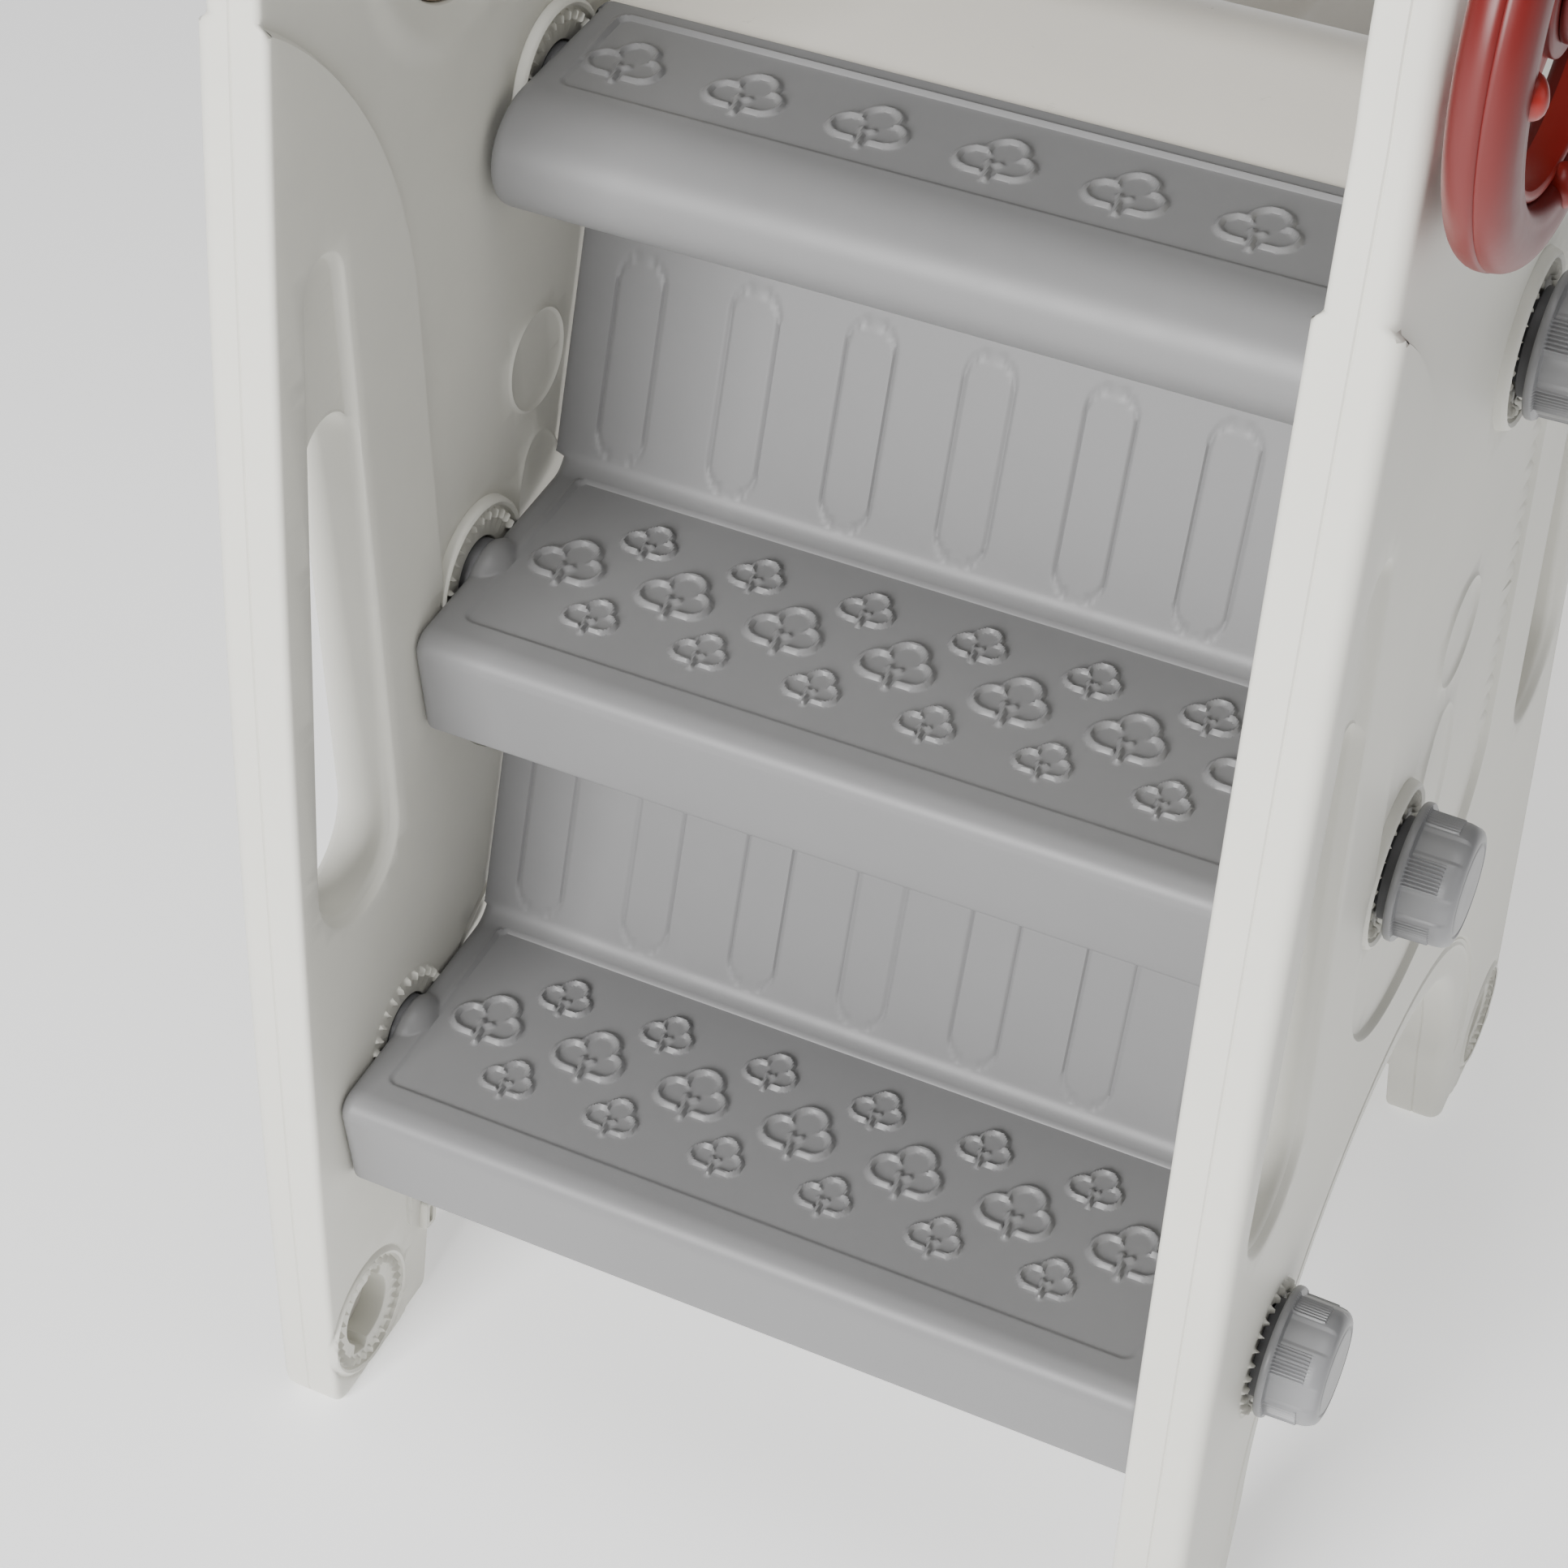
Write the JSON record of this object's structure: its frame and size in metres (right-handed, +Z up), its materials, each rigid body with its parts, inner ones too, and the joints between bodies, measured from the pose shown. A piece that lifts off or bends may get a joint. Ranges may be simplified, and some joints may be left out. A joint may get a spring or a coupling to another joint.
{
  "type": "toddler slide",
  "caption": "Free-standing toddler slide: two hollow side panels, moulded steps held by screw knobs, a deck and chute, and a turning steering wheel.",
  "frame": {"origin": "on the floor, under the centre of the slide's bounding box", "axes": "+X across the slide to the steering wheel's side, +Y from the ladder to the chute's exit, +Z up"},
  "size_m": [0.437, 1.256, 0.783],
  "materials": {
    "panel_plastic": "satin moulded",
    "step_plastic": "satin moulded",
    "knob_plastic": "satin moulded, slightly translucent",
    "sleeve_plastic": "satin moulded",
    "chute_plastic": "smooth moulded",
    "wheel_plastic": "smooth moulded",
    "cap_plastic": "satin moulded",
    "steel": "zinc plated"
  },
  "bodies": {
    "frame": {"left_panel_inner": "panel_plastic", "left_panel_outer": "panel_plastic", "step_1_sleeve_left": "sleeve_plastic", "step_2_sleeve_left": "sleeve_plastic", "step_3_sleeve_left": "sleeve_plastic", "deck_sleeve_left": "sleeve_plastic", "right_panel_inner": "panel_plastic", "right_panel_outer": "panel_plastic", "step_1_sleeve_right": "sleeve_plastic", "step_2_sleeve_right": "sleeve_plastic", "step_3_sleeve_right": "sleeve_plastic", "deck_sleeve_right": "sleeve_plastic", "step_1": "step_plastic", "step_2": "step_plastic", "step_3": "step_plastic", "slide_chute": "chute_plastic", "wheel_axle": "steel", "wheel_bush": "knob_plastic", "axle_nut": "panel_plastic", "port_cap_left": "cap_plastic"},
    "wheel": {"wheel_rim": "wheel_plastic", "wheel_spider": "wheel_plastic", "wheel_hub_cap": "wheel_plastic"},
    "step_1_knob_left": {"step_1_knob_left": "knob_plastic"},
    "step_2_knob_left": {"step_2_knob_left": "knob_plastic"},
    "step_3_knob_left": {"step_3_knob_left": "knob_plastic"},
    "deck_knob_left": {"deck_knob_left": "knob_plastic"},
    "step_1_knob_right": {"step_1_knob_right": "knob_plastic"},
    "step_2_knob_right": {"step_2_knob_right": "knob_plastic"},
    "step_3_knob_right": {"step_3_knob_right": "knob_plastic"},
    "deck_knob_right": {"deck_knob_right": "knob_plastic"}
  },
  "joints": [
    {"name": "wheel_turn", "type": "hinge", "parent": "frame", "child": "wheel", "pos_m": [0.2, -0.5052, 0.691], "axis": [1, 0, 0], "continuous": true},
    {"name": "step_1_knob_left_turn", "type": "hinge", "parent": "frame", "child": "step_1_knob_left", "pos_m": [-0.2, -0.5501, 0.1527], "axis": [-1, 0, 0], "range_deg": [0, 720]},
    {"name": "step_2_knob_left_turn", "type": "hinge", "parent": "frame", "child": "step_2_knob_left", "pos_m": [-0.2, -0.4693, 0.3233], "axis": [-1, 0, 0], "range_deg": [0, 720]},
    {"name": "step_3_knob_left_turn", "type": "hinge", "parent": "frame", "child": "step_3_knob_left", "pos_m": [-0.2, -0.392, 0.4931], "axis": [-1, 0, 0], "range_deg": [0, 720]},
    {"name": "deck_knob_left_turn", "type": "hinge", "parent": "frame", "child": "deck_knob_left", "pos_m": [-0.2, -0.3092, 0.4846], "axis": [-1, 0, 0], "range_deg": [0, 720]},
    {"name": "step_1_knob_right_turn", "type": "hinge", "parent": "frame", "child": "step_1_knob_right", "pos_m": [0.2, -0.5501, 0.1527], "axis": [1, 0, 0], "range_deg": [0, 720]},
    {"name": "step_2_knob_right_turn", "type": "hinge", "parent": "frame", "child": "step_2_knob_right", "pos_m": [0.2, -0.4693, 0.3233], "axis": [1, 0, 0], "range_deg": [0, 720]},
    {"name": "step_3_knob_right_turn", "type": "hinge", "parent": "frame", "child": "step_3_knob_right", "pos_m": [0.2, -0.392, 0.4931], "axis": [1, 0, 0], "range_deg": [0, 720]},
    {"name": "deck_knob_right_turn", "type": "hinge", "parent": "frame", "child": "deck_knob_right", "pos_m": [0.2, -0.3092, 0.4846], "axis": [1, 0, 0], "range_deg": [0, 720]}
  ]
}
